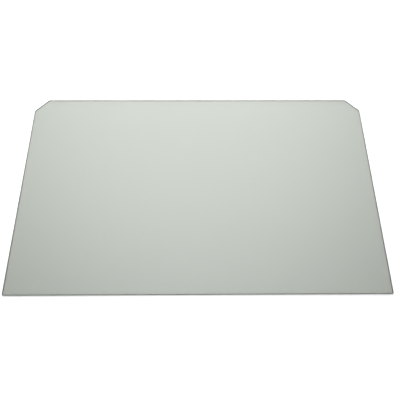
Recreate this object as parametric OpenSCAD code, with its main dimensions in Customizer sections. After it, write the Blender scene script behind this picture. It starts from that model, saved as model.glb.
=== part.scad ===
// Crisper cover glass: the pane of toughened float glass that drops into a
// refrigerator's crisper cover frame and closes the vegetable drawers from above.
// It is one sheet, cut to size with its two rear corners clipped off. Its whole
// edge is then ground round, and every corner dubbed, so that it is safe to handle.
// The origin is at the middle of the underside. +X runs across the refrigerator,
// +Y towards its back, where the clipped corners are, and +Z up.

/* [Sheet] */
// Width of the pane, across the refrigerator
glass_w = 635; // [480:1:720]
// Depth of the pane, from the door to the back
glass_d = 380; // [280:1:460]
// Thickness of the sheet that the pane is cut from
glass_t = 4; // [3:0.1:6]

/* [Clipped rear corners] */
// Length of rear edge that each clip takes off
clip_w = 25; // [12:0.5:60]
// Length of side edge that each clip takes off
clip_d = 25; // [12:0.5:60]

/* [Ground edge] */
// How far in from the outline the rounding of the edge reaches, on both faces
grind_reach = 1; // [0.4:0.05:1.4]
// Length that dubbing takes off each of the two sides that meet at a corner
dub = 1; // [0.5:0.1:5]

/* [Hidden] */
$fn = 96;

// The edge bulges as an arc that meets each face grind_reach inside the outline
grind_r = (pow(grind_reach, 2) + pow(glass_t / 2, 2)) / (2 * grind_reach);

// Longer than any line across the pane
past_pane = glass_w + glass_d;

// Corners of the sheet as it is cut, anticlockwise from the front left
cut = [
    [-glass_w / 2, -glass_d / 2],
    [glass_w / 2, -glass_d / 2],
    [glass_w / 2, glass_d / 2 - clip_d],
    [glass_w / 2 - clip_w, glass_d / 2],
    [clip_w - glass_w / 2, glass_d / 2],
    [-glass_w / 2, glass_d / 2 - clip_d]
];

function after(points, i) = points[(i + 1) % len(points)];
function before(points, i) = points[(i + len(points) - 1) % len(points)];

// Where dubbing the corner ends, on the side that runs to the neighbouring corner
function dub_end(corner, neighbour) = corner + dub * (neighbour - corner) / norm(neighbour - corner);

// Outline of the finished pane, with a short side across every corner of the cut sheet
outline = [
    for (i = [0 : len(cut) - 1])
        each [dub_end(cut[i], before(cut, i)), dub_end(cut[i], after(cut, i))]
];

// The bulge of the edge: a disc sliced to the thickness of the sheet, its centre at x = 0
module bulge() {
    intersection() {
        translate([-2 * grind_r, 0]) square([4 * grind_r, glass_t]);
        translate([0, glass_t / 2]) circle(grind_r);
    }
}

// Section through the sheet, square to a side. The outline is at x = 0 and the glass at -x
module ground_section() {
    translate([-past_pane, 0]) square([past_pane - grind_r, glass_t]);
    translate([-grind_r, 0]) bulge();
}

// All the sheet that grinding leaves along the side that runs from one point to another
module ground_along(from, to) {
    side = to - from;
    translate(from)
        rotate([90, 0, atan2(side[1], side[0]) - 90])
            linear_extrude(2 * past_pane, center = true) ground_section();
}

module glass_pane() {
    color([0.70, 0.76, 0.70, 0.8])
        intersection_for (i = [0 : len(outline) - 1])
            ground_along(outline[i], after(outline, i));
}

glass_pane();
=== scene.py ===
"""Glass of a refrigerator's crisper cover, lying on a white table in a white studio.

All lengths are in metres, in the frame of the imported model.
"""

import math

import bpy
import numpy as np
from mathutils import Matrix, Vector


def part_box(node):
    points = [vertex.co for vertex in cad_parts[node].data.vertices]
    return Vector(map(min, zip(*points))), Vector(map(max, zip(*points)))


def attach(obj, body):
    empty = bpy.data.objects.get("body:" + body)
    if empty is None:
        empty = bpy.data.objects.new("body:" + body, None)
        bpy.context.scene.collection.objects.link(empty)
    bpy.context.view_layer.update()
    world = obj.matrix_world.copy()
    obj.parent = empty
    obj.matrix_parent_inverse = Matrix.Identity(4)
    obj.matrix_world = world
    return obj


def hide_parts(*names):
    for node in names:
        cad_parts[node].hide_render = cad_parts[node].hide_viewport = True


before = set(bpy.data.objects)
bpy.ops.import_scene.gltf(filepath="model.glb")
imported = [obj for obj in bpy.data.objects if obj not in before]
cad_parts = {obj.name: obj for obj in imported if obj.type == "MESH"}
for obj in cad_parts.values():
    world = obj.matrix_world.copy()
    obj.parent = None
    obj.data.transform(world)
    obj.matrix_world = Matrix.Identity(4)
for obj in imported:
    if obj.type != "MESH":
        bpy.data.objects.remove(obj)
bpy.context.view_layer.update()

# The pane is one flat sheet of grey-green float glass, cut to size and then toughened.
# Both rear corners are clipped off, the whole edge is ground to one rounded section on
# a wheel, and every corner is dubbed. It lies loose in its frame and nothing fixes it.
pane_low, pane_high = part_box("glass_pane")
pane_thickness = pane_high.z - pane_low.z
clip_leg = 0.025
dub_leg = 0.001
grind_reach = 0.001
arc_steps = 24
station_gap = 0.012
face_ring_gap = 0.08


def sheet_outline():
    """Corners of the pane, anticlockwise from the front left.

    The rectangle loses a clip_leg off both sides of each rear corner. A corner of the cut
    sheet then becomes two, each a dub_leg away from it along one of its two sides.
    """
    left, front = pane_low.x, pane_low.y
    right, back = pane_high.x, pane_high.y
    cut = np.array([
        (left, front),
        (right, front),
        (right, back - clip_leg),
        (right - clip_leg, back),
        (left + clip_leg, back),
        (left, back - clip_leg),
    ])
    to_next = np.roll(cut, -1, axis=0) - cut
    to_next /= np.linalg.norm(to_next, axis=1, keepdims=True)
    to_last = -np.roll(to_next, 1, axis=0)
    return np.stack([cut + dub_leg * to_last, cut + dub_leg * to_next], axis=1).reshape(-1, 2)


def ground_profile():
    """How far in from the outline, and how high, each point of the ground edge lies.

    The section is an arc through both arrises, which lie grind_reach inside the outline,
    and through the outline at half thickness. Its radius is
    (reach squared + half thickness squared) / (2 reach). Also gives the way along the arc.
    """
    half = pane_thickness / 2
    radius = (grind_reach ** 2 + half ** 2) / (2 * grind_reach)
    widest = math.asin(half / radius)
    angle = np.linspace(-widest, widest, arc_steps + 1)
    return radius * (1 - np.cos(angle)), pane_low.z + half + radius * np.sin(angle), radius * angle


def round_the_pane(corners, inset):
    """Points round the outline at each inset, as an array of stations by insets by two.

    A corner moves inwards by inset times its mitre, which is the sum of its two sides'
    inward normals over one plus their dot product. Stations divide each side evenly.
    Also gives each station's distance round the outline, and whether it is a corner.
    """
    side = np.roll(corners, -1, axis=0) - corners
    length = np.linalg.norm(side, axis=1)
    inward = np.stack([-side[:, 1], side[:, 0]], axis=1) / length[:, None]
    before = np.roll(inward, 1, axis=0)
    mitre = (before + inward) / (1 + (before * inward).sum(axis=1))[:, None]
    moved = corners[:, None] + inset[None, :, None] * mitre[:, None]

    steps = np.maximum(1, np.ceil(length / station_gap)).astype(int)
    first = np.cumsum(steps) - steps
    of_side = np.repeat(np.arange(len(side)), steps)
    share = (np.arange(steps.sum()) - first[of_side]) / steps[of_side]
    start, end = moved[of_side], np.roll(moved, -1, axis=0)[of_side]
    points = start + share[:, None, None] * (end - start)
    run = (np.cumsum(length) - length)[of_side] + share * length[of_side]
    return points, np.append(run, length.sum()), share == 0


def pane_mesh():
    """One closed surface: a section carried round the outline, closed at both middles.

    The section starts at the middle of the underside, runs out to the lower arris, round
    the ground arc and back in along the top. On the flat faces its points are those of
    the arris scaled towards the middle, so both faces stay flat and every quad is sound.
    """
    inset, height, along_arc = ground_profile()
    rings = round((pane_high.y - pane_low.y) / 2 / face_ring_gap)
    outwards = np.arange(1, rings + 1) / (rings + 1)
    scale = np.concatenate([outwards, np.ones(len(inset)), outwards[::-1]])
    inset = np.pad(inset, rings, mode="edge")
    height = np.pad(height, rings, mode="edge")
    middle = np.array([(pane_low.x + pane_high.x) / 2, (pane_low.y + pane_high.y) / 2])

    points, run, is_corner = round_the_pane(sheet_outline(), inset)
    flat = middle + scale[None, :, None] * (points - middle)
    stations, columns = flat.shape[:2]
    level = np.broadcast_to(height[None, :, None], (stations, columns, 1))
    grid = np.concatenate([flat, level], axis=2).reshape(-1, 3)
    poles = np.array([(*middle, height[0]), (*middle, height[-1])])

    at = np.arange(stations * columns).reshape(stations, columns)
    after = np.roll(at, -1, axis=0)
    quads = np.stack([at[:, :-1], after[:, :-1], after[:, 1:], at[:, 1:]], axis=2).reshape(-1, 4)
    under, over = stations * columns, stations * columns + 1
    fan_under = np.stack([np.full(stations, under), after[:, 0], at[:, 0]], axis=1)
    fan_over = np.stack([np.full(stations, over), at[:, -1], after[:, -1]], axis=1)

    mesh = bpy.data.meshes.new("glass_pane_surface")
    faces = quads.tolist() + fan_under.tolist() + fan_over.tolist()
    mesh.from_pydata(np.concatenate([grid, poles]).tolist(), [], faces)

    # The ground band is marked on its faces, for the material
    column_of_quad = np.tile(np.arange(columns - 1), stations)
    on_arc = (column_of_quad >= rings) & (column_of_quad < rings + arc_steps)
    ground = np.concatenate([on_arc, np.zeros(2 * stations, bool)]).astype(np.float32)
    mesh.attributes.new("ground", "FLOAT", "FACE").data.foreach_set("value", ground)

    # The map runs round the outline one way and across the section the other way
    across = np.pad(along_arc, rings, mode="edge")
    across[:rings] -= (1 - outwards) * face_ring_gap * rings
    across[-rings:] += (1 - outwards[::-1]) * face_ring_gap * rings
    pole_across = face_ring_gap * (rings + 1)
    here, there = run[:-1], run[1:]
    halfway = (here + there) / 2
    quad_run = np.stack([here, there, there, here], axis=1)[:, None]
    quad_across = np.stack([across[:-1], across[:-1], across[1:], across[1:]], axis=1)[None]
    quad_map = np.stack(np.broadcast_arrays(quad_run, quad_across), axis=3).reshape(-1, 2)
    under_run = np.stack([halfway, there, here], axis=1)
    under_map = np.stack(np.broadcast_arrays(under_run, [-pole_across, across[0], across[0]]), axis=2)
    over_run = np.stack([halfway, here, there], axis=1)
    over_map = np.stack(np.broadcast_arrays(over_run, [pole_across, across[-1], across[-1]]), axis=2)
    whole_map = np.concatenate([quad_map, under_map.reshape(-1, 2), over_map.reshape(-1, 2)])
    mesh.uv_layers.new(name="round_edge").uv.foreach_set("vector", whole_map.astype(np.float32).ravel())

    # Both arrises and the mitre lines between the sides are creases
    arris = np.zeros((stations, columns), int)
    arris[:, rings] = 1
    arris[:, rings + arc_steps] = 2
    mitre_line = np.zeros((stations, columns), int)
    mitre_line[is_corner, rings:rings + arc_steps + 1] = 1 + np.flatnonzero(is_corner)[:, None]
    edge_ends = np.empty(2 * len(mesh.edges), int)
    mesh.edges.foreach_get("vertices", edge_ends)
    one, other = edge_ends.reshape(-1, 2).T
    sharp = np.zeros(len(mesh.edges), bool)
    for crease in (arris, mitre_line):
        line_of_point = np.append(crease.ravel(), [0, 0])
        sharp |= (line_of_point[one] > 0) & (line_of_point[one] == line_of_point[other])
    mesh.shade_smooth()
    mesh.attributes.new("sharp_edge", "BOOLEAN", "EDGE").data.foreach_set("value", sharp)
    mesh.update()
    return mesh


# The glass is grey-green all through, so a short way through it is pale and a long way is
# nearly black. Its faces are bright, with a trace of wiping marks. The edge is left as it
# comes off the wheel: it scatters some as a matt coat would and has fine lines that run
# round the pane. Its colour is painted shade, far darker than ground glass, so it lets
# little light through and draws a dark line round the pane.
glass_index = 1.52
glass_tint = (0.328, 0.368, 0.3115, 1)
glass_tint_density = 200.0
face_light_loss = (0.92, 0.92, 0.92, 1)
face_colour = (1, 1, 1, 1)
# Painted shade: the ground band's base colour, far darker than ground glass, draws the dark line round the
# pane
ground_painted_shade = (0.07, 0.07, 0.07, 1)
wipe_marks_per_metre = 9.0
wipe_detail = 5.0
wipe_detail_strength = 0.6
face_roughness = (0.01, 0.05)
grind_line_length = 0.02
grind_line_width = 0.0003
grind_line_depth = 0.00006
grind_line_detail = 2.0
ground_roughness = (0.35, 0.55)
ground_coat_roughness = 0.6
ground_coat_index = 1.5
noise_middle = (0.3, 0.7)


def add(tree, kind, **inputs):
    """A new node of one kind, with its sockets set by name or linked from other sockets."""
    node = tree.nodes.new(kind)
    for name, value in inputs.items():
        socket = node.inputs[name.replace("_", " ")]
        if isinstance(value, bpy.types.NodeSocket):
            tree.links.new(value, socket)
        else:
            socket.default_value = value
    return node


def mapped(tree, value, spread, goal):
    """A value carried in proportion from one range, spread, to another, goal, and held there."""
    return add(
        tree, "ShaderNodeMapRange", Value=value,
        From_Min=spread[0], From_Max=spread[1], To_Min=goal[0], To_Max=goal[1],
    ).outputs["Result"]


def float_glass():
    """Tinted glass through the whole pane, whose ground band is matt and darkened by painted shade."""
    material = bpy.data.materials.new("grey_green_float_glass")
    material.use_nodes = True
    tree = material.node_tree
    tree.nodes.clear()

    on_edge = add(tree, "ShaderNodeAttribute")
    on_edge.attribute_name = "ground"
    on_edge = on_edge.outputs["Fac"]

    place = add(tree, "ShaderNodeTexCoord").outputs["Object"]
    wipes = add(tree, "ShaderNodeTexNoise", Vector=place, Scale=wipe_marks_per_metre,
                Detail=wipe_detail, Roughness=wipe_detail_strength)
    round_edge = add(tree, "ShaderNodeUVMap")
    round_edge.uv_map = "round_edge"
    along_lines = add(tree, "ShaderNodeMapping", Vector=round_edge.outputs["UV"],
                      Scale=(1 / grind_line_length, 1 / grind_line_width, 1))
    lines = add(tree, "ShaderNodeTexNoise", Vector=along_lines.outputs["Vector"], Scale=1.0,
                Detail=grind_line_detail)
    roughness = add(tree, "ShaderNodeMix", Factor=on_edge,
                    A=mapped(tree, wipes.outputs["Fac"], noise_middle, face_roughness),
                    B=mapped(tree, lines.outputs["Fac"], noise_middle, ground_roughness))

    # The lines are nothing on the faces, and give the edge both its ridges and its streaks
    edge_lines = add(tree, "ShaderNodeMath")
    edge_lines.operation = "MULTIPLY"
    tree.links.new(on_edge, edge_lines.inputs[0])
    tree.links.new(lines.outputs["Fac"], edge_lines.inputs[1])
    ridges = add(tree, "ShaderNodeBump", Height=edge_lines.outputs["Value"], Distance=grind_line_depth)
    streaks = mapped(tree, edge_lines.outputs["Value"], (0, noise_middle[1]), (0, 1))

    colour = add(tree, "ShaderNodeMix")
    colour.data_type = "RGBA"
    factor, pale, dark = [socket for socket in colour.inputs if socket.enabled]
    tree.links.new(on_edge, factor)
    pale.default_value = face_colour
    # The ground band's colour is painted shade, darker than the ground glass itself
    dark.default_value = ground_painted_shade
    colour = next(socket for socket in colour.outputs if socket.enabled)

    glass = add(tree, "ShaderNodeBsdfPrincipled", Base_Color=colour, Roughness=roughness.outputs["Result"],
                Normal=ridges.outputs["Normal"], IOR=glass_index, Transmission_Weight=1.0,
                Coat_Weight=streaks, Coat_Roughness=ground_coat_roughness, Coat_IOR=ground_coat_index)
    lit_through = add(tree, "ShaderNodeBsdfTransparent", Color=face_light_loss)
    for_shadows = add(tree, "ShaderNodeLightPath").outputs["Is Shadow Ray"]
    surface = add(tree, "ShaderNodeMixShader", Fac=for_shadows)
    tree.links.new(glass.outputs["BSDF"], surface.inputs[1])
    tree.links.new(lit_through.outputs["BSDF"], surface.inputs[2])
    body = add(tree, "ShaderNodeVolumeAbsorption", Color=glass_tint, Density=glass_tint_density)
    add(tree, "ShaderNodeOutputMaterial", Surface=surface.outputs["Shader"], Volume=body.outputs["Volume"])
    return material


pane = bpy.data.objects.new("glass_pane_finished", pane_mesh())
bpy.context.scene.collection.objects.link(pane)
pane.data.materials.append(float_glass())
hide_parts("glass_pane")
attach(pane, "root")

# The table is a plain white studio surface that runs far past the view on every side.
# Its top lies a hair below the pane, which touches it only at a few high points.
table_half = 8.0
rest_gap = 0.0001
table_white = (0.9, 0.9, 0.9, 1)
table_corners = [
    (-table_half, -table_half, -rest_gap),
    (table_half, -table_half, -rest_gap),
    (table_half, table_half, -rest_gap),
    (-table_half, table_half, -rest_gap),
]
table_mesh = bpy.data.meshes.new("table_surface")
table_mesh.from_pydata(table_corners, [], [(0, 1, 2, 3)])
table = bpy.data.objects.new("table", table_mesh)
bpy.context.scene.collection.objects.link(table)
table_paint = bpy.data.materials.new("white_table_paint")
table_paint.use_nodes = True
table_paint.node_tree.nodes.clear()
paint = add(table_paint.node_tree, "ShaderNodeBsdfDiffuse", Color=table_white)
add(table_paint.node_tree, "ShaderNodeOutputMaterial", Surface=paint.outputs["BSDF"])
table_mesh.materials.append(table_paint)

# One soft lamp hangs behind the pane and points straight down, so the light on the table
# falls off to the front. It isn't mirrored, so no hard image of it lies on the glass.
lamp_place = (-0.036, 0.358, 0.9)
lamp_power = 26.6
lamp_cone = 1.394
lamp_radius = 0.12
cone_softness = 1
lamp_data = bpy.data.lights.new("soft_lamp", "SPOT")
lamp_data.energy = lamp_power
lamp_data.spot_size = lamp_cone
lamp_data.spot_blend = cone_softness
lamp_data.shadow_soft_size = lamp_radius
lamp = bpy.data.objects.new("soft_lamp", lamp_data)
lamp.location = lamp_place
lamp.visible_camera = False
lamp.visible_glossy = False
lamp.visible_transmission = False
bpy.context.scene.collection.objects.link(lamp)

# The studio's walls are white and its ceiling is dimmer. A large soft glow high on the
# back wall is what the back of the pane mirrors when it is seen from the front.
studio_white = (1, 1, 1, 1)
wall_light = 1.3
ceiling_light = 0.738
wall_top = 0.3
ceiling_edge = 0.9
glow_light = 2.33
glow_height = math.radians(57)
glow_reach = math.radians(37.8)


def white_studio():
    """Light from every direction: walls, a dimmer ceiling and the glow, with soft borders.

    The walls' light eases into the ceiling's with the height of the direction. The glow
    eases from nothing to full with the cosine of the angle to its middle.
    """
    world = bpy.data.worlds.new("white_studio")
    world.use_nodes = True
    tree = world.node_tree
    tree.nodes.clear()
    direction = add(tree, "ShaderNodeTexCoord").outputs["Generated"]
    height = add(tree, "ShaderNodeSeparateXYZ", Vector=direction).outputs["Z"]
    room = add(tree, "ShaderNodeMapRange", Value=height, From_Min=wall_top, From_Max=ceiling_edge,
               To_Min=wall_light, To_Max=ceiling_light)
    room.interpolation_type = "SMOOTHSTEP"
    nearness = add(tree, "ShaderNodeVectorMath")
    nearness.operation = "DOT_PRODUCT"
    tree.links.new(direction, nearness.inputs[0])
    nearness.inputs[1].default_value = (0, math.cos(glow_height), math.sin(glow_height))
    glow = add(tree, "ShaderNodeMapRange", Value=nearness.outputs["Value"], From_Min=math.cos(glow_reach),
               To_Max=glow_light)
    glow.interpolation_type = "SMOOTHSTEP"
    both = add(tree, "ShaderNodeMath")
    tree.links.new(room.outputs["Result"], both.inputs[0])
    tree.links.new(glow.outputs["Result"], both.inputs[1])
    light = add(tree, "ShaderNodeBackground", Color=studio_white, Strength=both.outputs["Value"])
    add(tree, "ShaderNodeOutputWorld", Surface=light.outputs["Background"])
    world.cycles.sampling_method = "NONE"
    return world


bpy.context.scene.world = white_studio()

# The camera looks down on the pane from in front of it, as the photograph does.
camera_place = (-0.0033, -0.2969, 0.66006)
camera_turn = -1.3745
camera_tilt = 22.5465
camera_roll = 1.1275
film_width = 36
camera_lens = 36.061
camera_data = bpy.data.cameras.new("camera")
camera_data.sensor_width = film_width
camera_data.lens = camera_lens
camera = bpy.data.objects.new("camera", camera_data)
camera.matrix_world = (
    Matrix.Translation(camera_place)
    @ Matrix.Rotation(math.radians(camera_turn), 4, "Z")
    @ Matrix.Rotation(math.radians(camera_tilt), 4, "X")
    @ Matrix.Rotation(math.radians(camera_roll), 4, "Z")
)
bpy.context.scene.collection.objects.link(camera)
bpy.context.scene.camera = camera

# Colours are shown as they are, and the glass keeps its full sharpness in reflections.
scene = bpy.context.scene
scene.view_settings.view_transform = "Standard"
scene.cycles.use_denoising = True
scene.cycles.blur_glossy = 0
